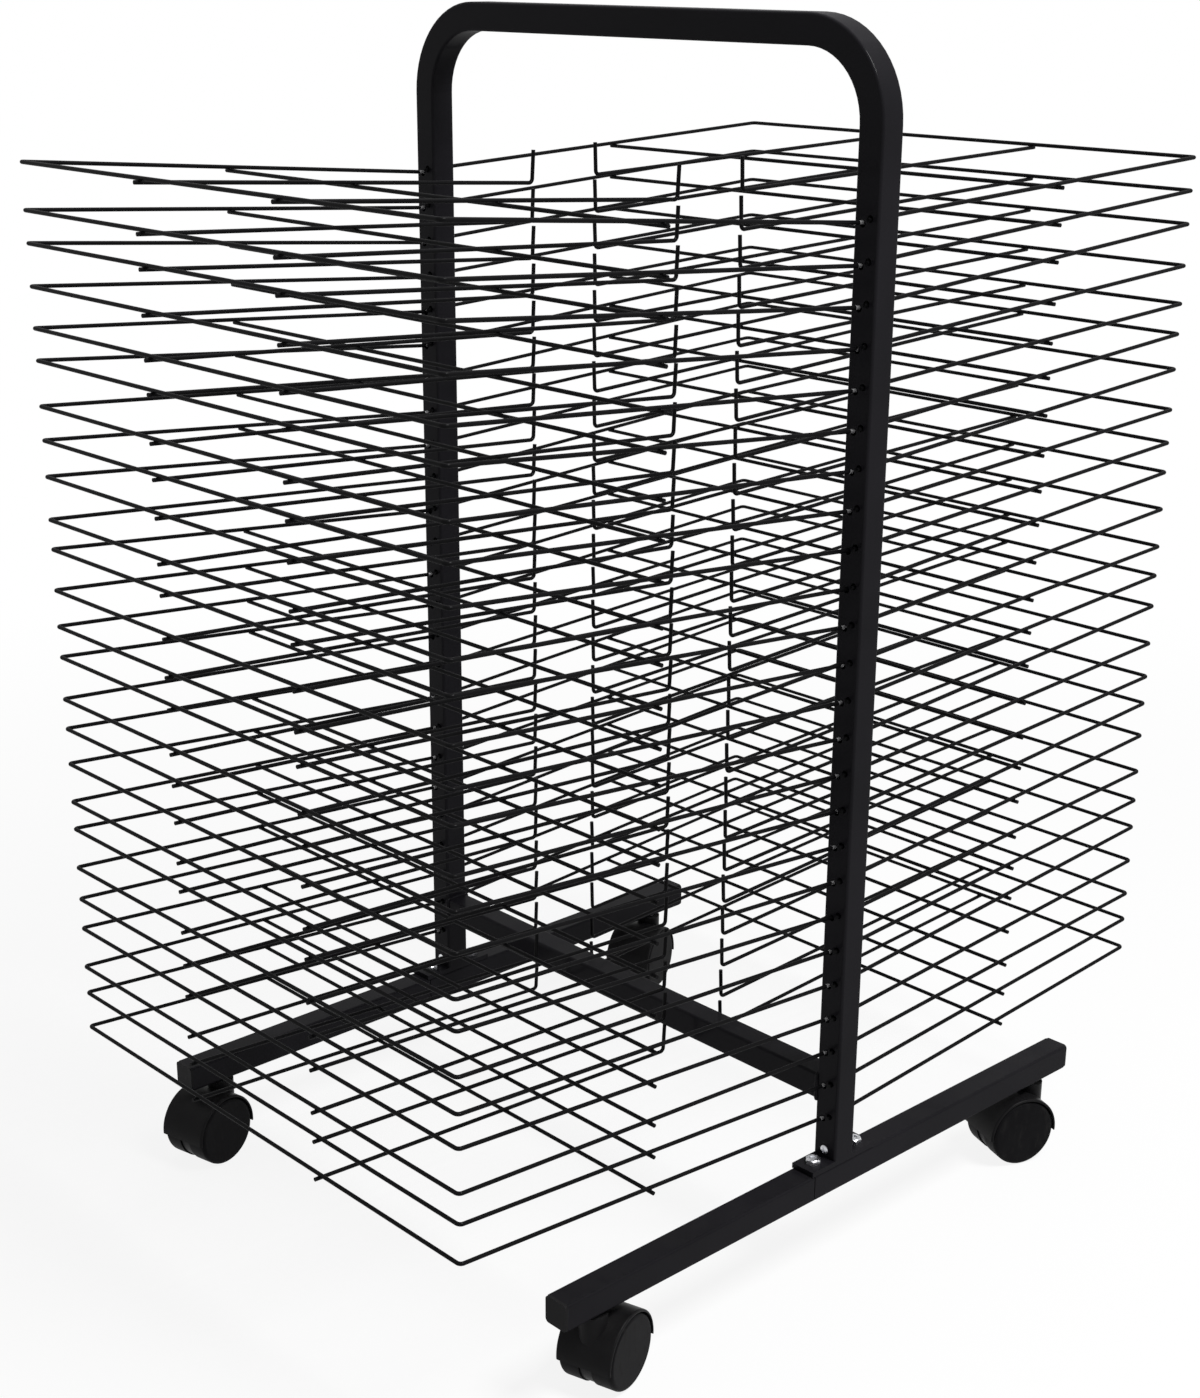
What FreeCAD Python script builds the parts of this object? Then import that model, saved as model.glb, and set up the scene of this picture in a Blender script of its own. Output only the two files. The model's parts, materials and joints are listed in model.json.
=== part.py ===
"""Art drying rack: two sides of tilted wire shelves on a bent tube frame with twin-wheel casters.

Frame of the model, in millimetres: X across the rack from the left upright to the right one,
Y along the feet from the front to the rear, Z up, origin on the floor below the rack's centre.
"""

import os

import FreeCAD, Part
import Sketcher
from FreeCAD import Vector

DOC = FreeCAD.newDocument("ArtDryingRack")
Z_AXIS = Vector(0, 0, 1)
AXES = {"x": "1; 0; 0", "y": "0; 1; 0", "z": "0; 0; 1", "xyz": "1; 1; 1"}
ALONG_X, ALONG_Y = (("y", 90),), (("x", -90),)
# Turns x to y, y to z and z to x, which stands what was drawn flat on the plane across X.
CYCLE = ("xyz", 120)

# ---------------------------------------------------------------- driving dimensions

DIMENSIONS = [
    # frame
    ("tube_side", 20, "outside of every square tube"),
    ("tube_wall", 1.2, "wall of every square tube"),
    ("tube_corner", 2, "outside corner radius of the tubes"),
    ("upright_spacing", 435, "between the centre lines of the uprights"),
    ("frame_height", 868, "floor to the top of the top bar"),
    ("bend_radius", 55, "centre line radius of the two top bends"),
    ("crossbar_height", 141, "floor to the centre of the crossbar"),
    # feet
    ("foot_reach", 269, "centre plane to each end of a foot, cap included"),
    ("foot_joint", 30, "centre plane to the joint in each foot"),
    ("joint_gap", 0.8, "open line between the halves of a foot"),
    ("spigot_reach", 70, "spigot beyond the joint, in the front half"),
    ("spigot_margin", 5, "spigot beyond the nut at its rear end"),
    ("spigot_wall", 1.5, "wall of the joint spigots and the upright stubs"),
    ("slip_gap", 0.1, "clearance around a tube that slides into another"),
    ("cap_flange", 2, "visible thickness of a foot's end cap"),
    ("cap_plug", 12, "length of an end cap inside the tube"),
    ("cap_corner", 3, "corner radius of a cap's face"),
    # base plates and fasteners
    ("base_length", 66, "length of the plate under an upright"),
    ("base_thickness", 4, "thickness of that plate"),
    ("stub_height", 16, "stub that stands inside the upright"),
    ("bolt_offset", 22, "centre plane to a base bolt"),
    ("bolt_radius", 3, "thread radius of a base bolt"),
    ("bolt_play", 0.4, "clearance of the holes around the base bolts"),
    ("bolt_head_flats", 10, "across the flats of the bolt head"),
    ("bolt_head_height", 4, "height of the bolt head"),
    ("bolt_dish_radius", 2.6, "dish in the bolt head"),
    ("bolt_dish_depth", 0.6, "depth of that dish"),
    ("bolt_edge", 0.3, "chamfer round the top of the bolt head"),
    ("bolt_tail", 1, "bolt below its nut"),
    ("nut_side", 10, "side of the square nut"),
    ("nut_height", 5, "height of the square nut"),
    ("pin_screw_height", 6, "upright screw above the base plate"),
    ("screw_radius", 1.7, "shank of the small screws"),
    ("screw_head_radius", 3.4, "head of the small screws"),
    ("screw_head_height", 1.8, "head height of the small screws"),
    ("screw_crown_radius", 5.1, "radius of the domed top of the head"),
    ("screw_slot_length", 3.8, "length of each slot of the cross in the head"),
    ("screw_slot_width", 0.9, "width of those slots"),
    ("screw_slot_depth", 0.8, "depth of those slots"),
    ("screw_length", 7, "shank length of the small screws"),
    ("overshoot", 1, "how far a drill or a cutting block runs past a surface"),
    # shelves
    ("levels", 25, "number of levels, each with a front and a rear shelf"),
    ("lowest_level", 118, "floor to the front holes of the lowest level"),
    ("top_drop", 123.6, "top of the top bar to the front holes of the top level"),
    ("rear_step", 3.5, "rear holes above the front ones"),
    ("column_offset", 3, "hole columns either side of an upright's centre line"),
    ("wire", 2.8, "shelf wire diameter"),
    ("hole_play", 0.9, "clearance of the shelf holes around the wires"),
    ("weld_sink", 0.3, "how far crossing wires sink into each other"),
    ("shelf_reach", 346, "centre plane to the outer wire of a shelf"),
    ("corner_bend", 3, "centre line radius of a shelf's outer corners"),
    ("mid_wire", 183, "centre plane to the middle cross wire"),
    ("nub", 4, "wire end beyond the wire that it crosses"),
    ("stop_spacing", 145, "between the two inner wires with the paper stops"),
    ("tail", 12, "outer wires beyond the centre plane, through both walls of the tube"),
    ("stop_distance", 28, "centre plane to a paper stop"),
    ("stop_height", 22.5, "height of a paper stop above its wire"),
    ("stop_bend", 3, "centre line radius of the bend below a stop"),
    ("front_tilt", 4.1, "degrees that a front shelf rises outwards"),
    ("rear_tilt", 3.4, "degrees that a rear shelf rises outwards"),
    ("tilt_play", 0.45, "degrees that the loose holes let a shelf differ"),
    # casters
    ("caster_height", 64, "floor to the underside of a foot"),
    ("caster_inset", 33, "end of a foot to the swivel axis near it"),
    ("caster_trail", 16, "swivel axis to the wheel axle"),
    ("insert_radius", 5.5, "barrel of the threaded insert in the foot"),
    ("insert_length", 13, "barrel inside the foot"),
    ("insert_flange", 1, "flange of the insert, below the foot"),
    ("insert_flange_radius", 6.5, "radius of that flange"),
    ("stem_radius", 4, "thread of a caster's stem"),
    ("stem_shoulder", 1.6, "shoulder of the stem between the insert and the hood"),
    ("stem_shoulder_radius", 5, "radius of that shoulder"),
    ("kingpin_radius", 3, "stem inside the hood"),
    ("kingpin_depth", 20, "kingpin below the top of the hood's boss"),
    ("wheel_radius", 27, "radius of a wheel"),
    ("wheel_width", 16, "width of one wheel"),
    ("wheel_shoulder", 3, "rounding of a wheel's outer edge"),
    ("wheel_gap", 10, "between the two wheels of a caster"),
    ("wheel_rim", 4.5, "rim of a wheel around its inner recess"),
    ("wheel_hub", 7, "hub radius of a wheel"),
    ("wheel_recess", 9, "depth of a wheel's inner recess"),
    ("wheel_skin", 2, "wheel face outside the end of the axle"),
    ("axle_radius", 2.5, "radius of a wheel axle"),
    ("running_gap", 0.05, "radial clearance of what turns on a pin"),
    ("side_gap", 0.4, "clearance between a wheel and the hood's web"),
    ("hood_gap", 0.8, "clearance over the wheels"),
    ("hood_wall", 1.7, "shell of the hood"),
    ("hood_drop", 3, "degrees below level where the hood starts, on the trailing side"),
    ("hood_sweep", 188, "degrees that the hood covers from there"),
    ("hood_edge", 1.5, "rounding of the hood's outer edges"),
    ("web_radius", 26, "disc between the wheels"),
    ("boss_radius", 10, "boss of the hood around the kingpin"),
]
ALIASES = {alias for alias, _, _ in DIMENSIONS}

# Angles that the casters stand at, turned from a wheel that trails straight to the rear.
CASTERS = {
    "front_left": (-1, -1, 192),
    "front_right": (1, -1, 16),
    "rear_left": (-1, 1, 200),
    "rear_right": (1, 1, 160),
}
SIDES = {"left": -1, "right": 1}

# Each level's shelves sit a little differently in their loose holes. The step in degrees
# between neighbouring levels is far from a whole share of a turn, so no pattern shows.
FRONT_WANDER, REAR_WANDER, REAR_LEAD = 137, 99, 60


def make_sheet():
    """Puts the driving dimensions in a spreadsheet whose aliases the expressions name."""
    sheet = DOC.addObject("Spreadsheet::Sheet", "Dimensions")
    for row, (alias, value, note) in enumerate(DIMENSIONS, start=1):
        sheet.set(f"A{row}", alias)
        sheet.set(f"B{row}", str(value))
        sheet.set(f"C{row}", note)
        sheet.setAlias(f"B{row}", alias)
    DOC.recompute()
    return sheet


SHEET = make_sheet()


def formula(text):
    """Writes the aliases in a formula out in full, as expressions need them."""
    words = []
    word = ""
    for letter in text + " ":
        if letter.isalnum() or letter == "_":
            word += letter
            continue
        words.append(f"Dimensions.{word}" if word in ALIASES else word)
        words.append(letter)
        word = ""
    return "".join(words).strip()


def value(text):
    """What a formula comes to, for counts and for where a sketch's lines start out."""
    return float(SHEET.evalExpression(formula(text)))


def bind(thing, **formulas):
    """Binds properties to formulas."""
    for name, text in formulas.items():
        thing.setExpression(name, formula(text))


def place(thing, x="0", y="0", z="0", turns=(("z", 0),)):
    """Places an object by formulas. Of its turns in degrees, the last one is applied first."""
    spin = " * ".join(f"rotation(vector({AXES[axis]}); {angle})" for axis, angle in turns)
    bind(thing, Placement=f"placement(vector({x}; {y}; {z}); {spin})")
    return thing


# ---------------------------------------------------------------- small building blocks


def cylinder(name, radius, height, x="0", y="0", z="0", turns=(("z", 0),)):
    made = DOC.addObject("Part::Cylinder", name)
    bind(made, Radius=radius, Height=height)
    return place(made, x, y, z, turns)


def block(name, length, width, height, x="0", y="0", z="0"):
    """A block centred on x and y that stands on z."""
    made = DOC.addObject("Part::Box", name)
    bind(made, Length=length, Width=width, Height=height)
    return place(made, f"{x} - ({length}) / 2", f"{y} - ({width}) / 2", z)


def fuse(label, parts):
    made = DOC.addObject("Part::MultiFuse", label)
    made.Shapes = parts
    made.Refine = True
    return made


def cut(label, base, tool):
    made = DOC.addObject("Part::Cut", label)
    made.Base = base
    made.Tool = tool
    return made


def cut_all(label, base, tools):
    return cut(label, base, fuse(label + "_tools", tools) if len(tools) > 1 else tools[0])


def group(label, parts):
    """Separate solids that share one node."""
    made = DOC.addObject("Part::Compound", label)
    made.Links = parts
    return made


def copy_of(source, label, x="0", y="0", z="0", turns=(("z", 0),)):
    """A further instance of a piece, somewhere else."""
    made = DOC.addObject("App::Link", label)
    made.LinkedObject = source
    made.LinkTransform = True
    return place(made, x, y, z, turns)


def plane(body, role):
    for feature in body.Origin.OriginFeatures:
        if feature.Role == role:
            return feature
    raise ValueError(role)


def sketch_on(body, role, name, x="0", y="0", z="0"):
    """A sketch on one of the body's own planes, moved within that plane's frame."""
    sketch = body.newObject("Sketcher::SketchObject", name)
    sketch.AttachmentSupport = [(plane(body, role), "")]
    sketch.MapMode = "FlatFace"
    bind(sketch, AttachmentOffset=f"placement(vector({x}; {y}; {z}); rotation(vector(0; 0; 1); 0))")
    return sketch


def name_size(sketch, constraint, name, text):
    """Adds a dimension to a sketch, names it and binds it to a formula."""
    index = sketch.addConstraint(constraint)
    sketch.renameConstraint(index, name)
    sketch.setExpression(f"Constraints.{name}", formula(text))


def rounded_rectangle(sketch, name, width, height, corner):
    """A rectangle with round corners, centred on the sketch's origin."""
    half_w, half_h, radius = value(width) / 2, value(height) / 2, value(corner)
    flat_w, flat_h = half_w - radius, half_h - radius
    first = sketch.GeometryCount
    corners = [(flat_w, -flat_h, 270), (flat_w, flat_h, 0), (-flat_w, flat_h, 90), (-flat_w, -flat_h, 180)]
    sides = [
        (Vector(-flat_w, -half_h), Vector(flat_w, -half_h)),
        (Vector(half_w, -flat_h), Vector(half_w, flat_h)),
        (Vector(flat_w, half_h), Vector(-flat_w, half_h)),
        (Vector(-half_w, flat_h), Vector(-half_w, -flat_h)),
    ]
    for (start, end), (x, y, turn) in zip(sides, corners):
        sketch.addGeometry(Part.LineSegment(start, end), False)
        circle = Part.Circle(Vector(x, y), Z_AXIS, radius)
        quarter = (FreeCAD.Units.parseQuantity(f"{turn} deg").getValueAs("rad").Value,
                   FreeCAD.Units.parseQuantity(f"{turn + 90} deg").getValueAs("rad").Value)
        sketch.addGeometry(Part.ArcOfCircle(circle, *quarter), False)
    bottom, right, top, left = first, first + 2, first + 4, first + 6
    for line, arc in ((bottom, first + 1), (right, first + 3), (top, first + 5), (left, first + 7)):
        following = first + (arc + 1 - first) % 8
        sketch.addConstraint(Sketcher.Constraint("Tangent", line, 2, arc, 1))
        sketch.addConstraint(Sketcher.Constraint("Tangent", arc, 2, following, 1))
    sketch.addConstraint(Sketcher.Constraint("Horizontal", top))
    sketch.addConstraint(Sketcher.Constraint("Vertical", left))
    for arc in (first + 3, first + 5, first + 7):
        sketch.addConstraint(Sketcher.Constraint("Equal", first + 1, arc))
    sketch.addConstraint(Sketcher.Constraint("Symmetric", bottom, 1, bottom, 2, -2))
    sketch.addConstraint(Sketcher.Constraint("Symmetric", right, 1, right, 2, -1))
    name_size(sketch, Sketcher.Constraint("Radius", first + 1, radius), name + "_corner", corner)
    name_size(sketch, Sketcher.Constraint("DistanceX", bottom, 1, bottom, 2, 2 * flat_w), name + "_width",
              f"({width}) - 2 * ({corner})")
    name_size(sketch, Sketcher.Constraint("DistanceY", right, 1, right, 2, 2 * flat_h), name + "_height",
              f"({height}) - 2 * ({corner})")


def tube_section(sketch, side="tube_side", wall="tube_wall", corner="tube_corner"):
    """The section of a square tube: its outside and its bore."""
    rounded_rectangle(sketch, "outside", side, side, corner)
    rounded_rectangle(sketch, "inside", f"({side}) - 2 * ({wall})", f"({side}) - 2 * ({wall})",
                      f"({corner}) - ({wall}) / 2")


def pad(body, sketch, length, reverse=False):
    made = body.newObject("PartDesign::Pad", sketch.Name + "_pad")
    made.Profile = sketch
    made.Reversed = reverse
    bind(made, Length=length)
    return made


def straight_tube(label, role, length, **section):
    """A square tube that grows from its body's origin along the axis across the given plane."""
    body = DOC.addObject("PartDesign::Body", label)
    sketch = sketch_on(body, role, label + "_section")
    tube_section(sketch, **section)
    pad(body, sketch, length, reverse=role == "XZ_Plane")
    return body


# ---------------------------------------------------------------- heights and places shared by the pieces

FOOT_MIDDLE = "caster_height + tube_side / 2"
FOOT_TOP = "(caster_height + tube_side)"
BASE_TOP = "(caster_height + tube_side + base_thickness)"
HOLE_RADIUS = "(wire / 2 + hole_play)"
LEVEL_PITCH = "((frame_height - top_drop - lowest_level) / (levels - 1))"
CASTER_DISTANCE = "(foot_reach - caster_inset)"
SPIGOT_SIDE = "tube_side - 2 * tube_wall - 2 * slip_gap"
SPIGOT_END = "(bolt_offset + nut_side / 2 + spigot_margin)"


def side_x(side):
    """The centre line of the upright and the foot on one side."""
    return f"{side} * upright_spacing / 2"


# ---------------------------------------------------------------- frame


def make_upright_frame():
    """The bent tube with both uprights and the top bar, drilled for the shelves and the screws."""
    label = "upright_frame"
    body = DOC.addObject("PartDesign::Body", label)
    path = sketch_on(body, "XZ_Plane", "frame_path")
    half, bend = value("upright_spacing / 2"), value("bend_radius")
    low, high = value(BASE_TOP), value("frame_height - tube_side / 2")
    left_bend = Part.Circle(Vector(-half + bend, high - bend), Z_AXIS, bend)
    right_bend = Part.Circle(Vector(half - bend, high - bend), Z_AXIS, bend)
    quarter = FreeCAD.Units.parseQuantity("90 deg").getValueAs("rad").Value
    path.addGeometry([
        Part.LineSegment(Vector(-half, low), Vector(-half, high - bend)),
        Part.ArcOfCircle(left_bend, quarter, 2 * quarter),
        Part.LineSegment(Vector(-half + bend, high), Vector(half - bend, high)),
        Part.ArcOfCircle(right_bend, 0, quarter),
        Part.LineSegment(Vector(half, high - bend), Vector(half, low)),
    ], False)
    left, left_arc, top, right_arc, right = range(5)
    path.addConstraint([
        Sketcher.Constraint("Tangent", left, 2, left_arc, 2),
        Sketcher.Constraint("Tangent", left_arc, 1, top, 1),
        Sketcher.Constraint("Tangent", top, 2, right_arc, 2),
        Sketcher.Constraint("Tangent", right_arc, 1, right, 1),
        Sketcher.Constraint("Vertical", left),
        Sketcher.Constraint("Vertical", right),
        Sketcher.Constraint("Horizontal", top),
        Sketcher.Constraint("Equal", left_arc, right_arc),
        Sketcher.Constraint("Symmetric", left, 1, right, 2, -2),
    ])
    name_size(path, Sketcher.Constraint("Radius", left_arc, bend), "bend", "bend_radius")
    name_size(path, Sketcher.Constraint("DistanceX", left, 1, right, 2, 2 * half), "spacing",
              "upright_spacing")
    name_size(path, Sketcher.Constraint("DistanceY", -1, 1, left, 1, low), "foot_of_leg", BASE_TOP)
    name_size(path, Sketcher.Constraint("DistanceY", -1, 1, top, 1, high), "top_line",
              "frame_height - tube_side / 2")

    section = sketch_on(body, "XY_Plane", "frame_section", x="-upright_spacing / 2", z=BASE_TOP)
    tube_section(section)
    sweep = body.newObject("PartDesign::AdditivePipe", "frame_sweep")
    sweep.Profile = section
    sweep.Spine = path
    DOC.recompute()

    columns = sketch_on(body, "XZ_Plane", "hole_columns")
    for side in SIDES.values():
        draw_hole(columns, HOLE_RADIUS, f"{side_x(side)} - column_offset", "lowest_level")
        draw_hole(columns, HOLE_RADIUS, f"{side_x(side)} + column_offset", "lowest_level + rear_step")
    holes = body.newObject("PartDesign::Pocket", "shelf_holes")
    holes.Profile = columns
    holes.Type = "ThroughAll"
    holes.Midplane = True
    DOC.recompute()
    rows = body.newObject("PartDesign::LinearPattern", "hole_rows")
    rows.Originals = [holes]
    rows.Direction = (columns, ["V_Axis"])
    bind(rows, Length=f"{LEVEL_PITCH} * (levels - 1)", Occurrences="levels")
    body.Tip = rows
    DOC.recompute()

    screws = sketch_on(body, "XZ_Plane", "screw_holes")
    for side in SIDES.values():
        draw_hole(screws, "screw_radius", side_x(side), f"{BASE_TOP} + pin_screw_height")
    drilled = body.newObject("PartDesign::Pocket", "screw_drilling")
    drilled.Profile = screws
    drilled.Type = "Length"
    bind(drilled, Length="tube_side / 2 + overshoot")
    drilled.Reversed = True
    body.Tip = drilled
    return body


def draw_hole(sketch, radius, x, height):
    """A round hole in a sketch, with its radius and both distances from the origin named."""
    centre = Vector(value(x), value(height), 0)
    index = sketch.addGeometry(Part.Circle(centre, Z_AXIS, value(radius)), False)
    name_size(sketch, Sketcher.Constraint("Radius", index, value(radius)), f"hole_{index}_radius", radius)
    name_size(sketch, Sketcher.Constraint("DistanceX", -1, 1, index, 3, centre.x), f"hole_{index}_x", x)
    name_size(sketch, Sketcher.Constraint("DistanceY", -1, 1, index, 3, centre.y), f"hole_{index}_z", height)


def make_crossbar():
    bar = straight_tube("crossbar", "YZ_Plane", "upright_spacing - tube_side")
    return place(bar, x="-(upright_spacing - tube_side) / 2", z="crossbar_height")


# ---------------------------------------------------------------- feet


def foot_tools(name, side, end, bolt_rows):
    """What is drilled out of half a foot: its base bolts on top, and the caster's insert below."""
    tools = [
        cylinder(f"{name}_bolt_drill_{row}", "bolt_radius + bolt_play", "tube_side / 2",
                 x=side_x(side), y=f"{row} * bolt_offset", z=FOOT_MIDDLE)
        for row in bolt_rows
    ]
    tools.append(cylinder(f"{name}_insert_drill", "insert_radius", "tube_side / 2",
                          x=side_x(side), y=f"{end} * {CASTER_DISTANCE}", z="caster_height - overshoot"))
    return tools


def make_foot(side_name, side):
    """A foot in two halves on one spigot. The rear half carries the upright's base plate."""
    rear = straight_tube(f"{side_name}_rear_blank", "XZ_Plane", "foot_reach - cap_flange + foot_joint")
    place(rear, x=side_x(side), y="-foot_joint", z=FOOT_MIDDLE)
    front = straight_tube(f"{side_name}_front_blank", "XZ_Plane",
                          "foot_reach - cap_flange - foot_joint - joint_gap")
    place(front, x=side_x(side), y="-(foot_reach - cap_flange)", z=FOOT_MIDDLE)
    return [
        cut_all(f"{side_name}_foot_rear", rear, foot_tools(f"{side_name}_rear", side, 1, (-1, 1))),
        cut_all(f"{side_name}_foot_front", front, foot_tools(f"{side_name}_front", side, -1, ())),
    ]


def make_spigots():
    """Inner tubes that join the halves of each foot and that the base bolts clamp."""
    spigots = []
    for side_name, side in SIDES.items():
        blank = straight_tube(f"{side_name}_spigot_blank", "XZ_Plane",
                              f"foot_joint + spigot_reach + {SPIGOT_END}",
                              side=SPIGOT_SIDE, wall="spigot_wall", corner="tube_corner - tube_wall / 2")
        place(blank, x=side_x(side), y="-(foot_joint + spigot_reach)", z=FOOT_MIDDLE)
        drills = [
            cylinder(f"{side_name}_spigot_drill_{row}", "bolt_radius + bolt_play", "tube_side / 2",
                     x=side_x(side), y=f"{row} * bolt_offset", z=FOOT_MIDDLE)
            for row in (-1, 1)
        ]
        spigots.append(cut_all(f"{side_name}_spigot", blank, drills))
    return group("foot_joint_spigots", spigots)


def make_end_caps():
    """Plastic plugs in the open ends of the feet."""
    body = DOC.addObject("PartDesign::Body", "end_cap")
    face = sketch_on(body, "XZ_Plane", "cap_face")
    rounded_rectangle(face, "face", "tube_side", "tube_side", "cap_corner")
    pad(body, face, "cap_flange", reverse=True)
    plug = sketch_on(body, "XZ_Plane", "cap_plug_face")
    rounded_rectangle(plug, "plug", SPIGOT_SIDE, SPIGOT_SIDE, "tube_corner - tube_wall / 2")
    pad(body, plug, "cap_plug")
    caps = []
    for side_name, side in SIDES.items():
        for end_name, end in (("front", -1), ("rear", 1)):
            caps.append(copy_of(body, f"{side_name}_{end_name}_cap", x=side_x(side), z=FOOT_MIDDLE,
                                y=f"{end} * (foot_reach - cap_flange)", turns=[("z", 90 - 90 * end)]))
    return group("foot_end_caps", caps)


def make_base_plate(side_name, side):
    """The plate under an upright, with the stub that the upright slips over."""
    middle = {"x": side_x(side), "z": FOOT_TOP}
    plate = block(f"{side_name}_base_blank", "tube_side", "base_length", "base_thickness", **middle)
    stub = straight_tube(f"{side_name}_stub", "XY_Plane", "base_thickness + stub_height",
                         side=SPIGOT_SIDE, wall="spigot_wall", corner="tube_corner - tube_wall / 2")
    place(stub, **middle)
    solid = fuse(f"{side_name}_base_solid", [plate, stub])
    drills = [
        cylinder(f"{side_name}_base_drill_{row}", "bolt_radius + bolt_play", "base_thickness + 2 * overshoot",
                 x=side_x(side), y=f"{row} * bolt_offset", z=f"{FOOT_TOP} - overshoot")
        for row in (-1, 1)
    ]
    drills.append(cylinder(f"{side_name}_stub_drill", "screw_radius", "tube_side / 2",
                           x=side_x(side), z=f"{BASE_TOP} + pin_screw_height", turns=[("x", 90)]))
    return cut_all(f"{side_name}_base_plate", solid, drills)


# ---------------------------------------------------------------- fasteners


def make_base_bolt():
    """Hexagon bolt whose head has a shallow dish. Its origin is the underside of the head."""
    head = DOC.addObject("Part::Prism", "bolt_head")
    head.Polygon = 6
    bind(head, Circumradius="bolt_head_flats / 2 / cos(30 deg)", Height="bolt_head_height")
    chamfer = DOC.addObject("Part::Cone", "bolt_head_chamfer")
    bind(chamfer, Radius1="bolt_head_flats / 2 + bolt_head_height", Radius2="bolt_head_flats / 2 - bolt_edge",
         Height="bolt_head_height")
    rounded = DOC.addObject("Part::Common", "bolt_head_rounded")
    rounded.Base, rounded.Tool = head, chamfer
    dish = cylinder("bolt_dish", "bolt_dish_radius", "bolt_dish_depth + overshoot",
                    z="bolt_head_height - bolt_dish_depth")
    length = "base_thickness + tube_wall + slip_gap + spigot_wall + nut_height + bolt_tail"
    shank = cylinder("bolt_shank", "bolt_radius", length, z=f"-({length})")
    return fuse("base_bolt", [cut("bolt_head_dished", rounded, dish), shank])


def make_small_screw():
    """Pan-head screw along Z. Its origin is the underside of the head, which is on top."""
    head = cylinder("screw_head_blank", "screw_head_radius", "screw_head_height")
    crown = DOC.addObject("Part::Sphere", "screw_crown")
    bind(crown, Radius="screw_crown_radius")
    place(crown, z="screw_head_height - screw_crown_radius")
    domed = DOC.addObject("Part::Common", "screw_head")
    domed.Base, domed.Tool = head, crown
    slots = [
        block(f"screw_slot_{name}", length, width, "screw_slot_depth + overshoot",
              z="screw_head_height - screw_slot_depth")
        for name, length, width in (("a", "screw_slot_length", "screw_slot_width"),
                                    ("b", "screw_slot_width", "screw_slot_length"))
    ]
    shank = cylinder("screw_shank", "screw_radius", "screw_length", z="-screw_length")
    return fuse("small_screw", [cut_all("screw_head_crossed", domed, slots), shank])


def make_fasteners():
    """Base bolts and their nuts, and the screws that pin the uprights to their stubs."""
    bolt, screw = make_base_bolt(), make_small_screw()
    nut_blank = block("nut_blank", "nut_side", "nut_side", "nut_height")
    nut = cut("square_nut", nut_blank,
              cylinder("nut_thread", "bolt_radius", "nut_height + 2 * overshoot", z="-overshoot"))
    nut_z = "caster_height + tube_side - tube_wall - slip_gap - spigot_wall - nut_height"
    bolts, nuts, screws = [], [], []
    for side_name, side in SIDES.items():
        x = side_x(side)
        for end_name, end in (("front", -1), ("rear", 1)):
            y = f"{end} * bolt_offset"
            as_tightened = [("z", 20 * side + 7 * end)]
            bolts.append(copy_of(bolt, f"{side_name}_{end_name}_bolt", x, y, BASE_TOP, as_tightened))
            nuts.append(copy_of(nut, f"{side_name}_{end_name}_nut", x, y, nut_z))
        screws.append(copy_of(screw, f"{side_name}_screw", x, "-tube_side / 2",
                              f"{BASE_TOP} + pin_screw_height", [("x", 90)]))
    return [group("base_bolts", bolts), group("base_nuts", nuts), group("upright_screws", screws)]


# ---------------------------------------------------------------- shelves

LAYER = "(wire - weld_sink)"
HALF_SHELF = "upright_spacing / 2"


def wire_run(name, length, x="0", y="0", z="0", turns=(("z", 0),)):
    """A straight length of wire."""
    return cylinder(name, "wire / 2", length, x, y, z, turns)


def wire_bend(name, radius, x, y, z, turns):
    """A quarter turn of wire. Before its own turns it runs from +X to +Y about Z."""
    made = DOC.addObject("Part::Torus", name)
    made.Angle3 = 90
    bind(made, Radius1=radius, Radius2="wire / 2")
    return place(made, x, y, z, turns)


def make_outer_wire():
    """The bent wire round three sides of a shelf, whose ends go into the uprights."""
    parts = [wire_run("outer_run", "upright_spacing - 2 * corner_bend", x=f"corner_bend - {HALF_SHELF}",
                      y="shelf_reach", turns=ALONG_X)]
    for side_name, side in SIDES.items():
        parts.append(wire_run(f"{side_name}_run", "shelf_reach - corner_bend + tail",
                              x=f"{side} * {HALF_SHELF}", y="-tail", turns=ALONG_Y))
        parts.append(wire_bend(f"{side_name}_corner", "corner_bend", f"{side} * ({HALF_SHELF} - corner_bend)",
                               "shelf_reach - corner_bend", "0", [("z", 45 - 45 * side)]))
    return fuse("outer_wire", parts)


def make_stop_wire(name, side):
    """An inner wire from its nub to its bend, and the paper stop that rises from the bend.

    It lies on the middle cross wire and passes below the outer one, so it leans by one layer
    over the distance between them.
    """
    bend_y = "stop_distance + stop_bend - mid_wire"
    parts = [
        wire_run(name + "_run", "shelf_reach + nub - stop_distance - stop_bend", y=bend_y, turns=ALONG_Y),
        wire_bend(name + "_bend", "stop_bend", "0", bend_y, "stop_bend", [("x", 180), CYCLE]),
        wire_run(name + "_stop", "stop_height - stop_bend", y="stop_distance - mid_wire", z="stop_bend"),
    ]
    lean = f"atan({LAYER} / (shelf_reach - mid_wire))"
    return place(fuse(name, parts), f"{side} * stop_spacing / 2", "mid_wire", "0", [("x", f"-{lean}")])


def make_shelf():
    """The four welded wires of one shelf, level, with the rack's centre plane at its y of 0."""
    middle = wire_run("middle_wire", "upright_spacing + 2 * nub", x=f"-({HALF_SHELF} + nub)",
                      y="mid_wire", z=f"-{LAYER}", turns=ALONG_X)
    stops = [make_stop_wire(f"{side_name}_stop_wire", side) for side_name, side in SIDES.items()]
    return group("wire_shelf", [make_outer_wire(), middle] + stops)


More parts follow.
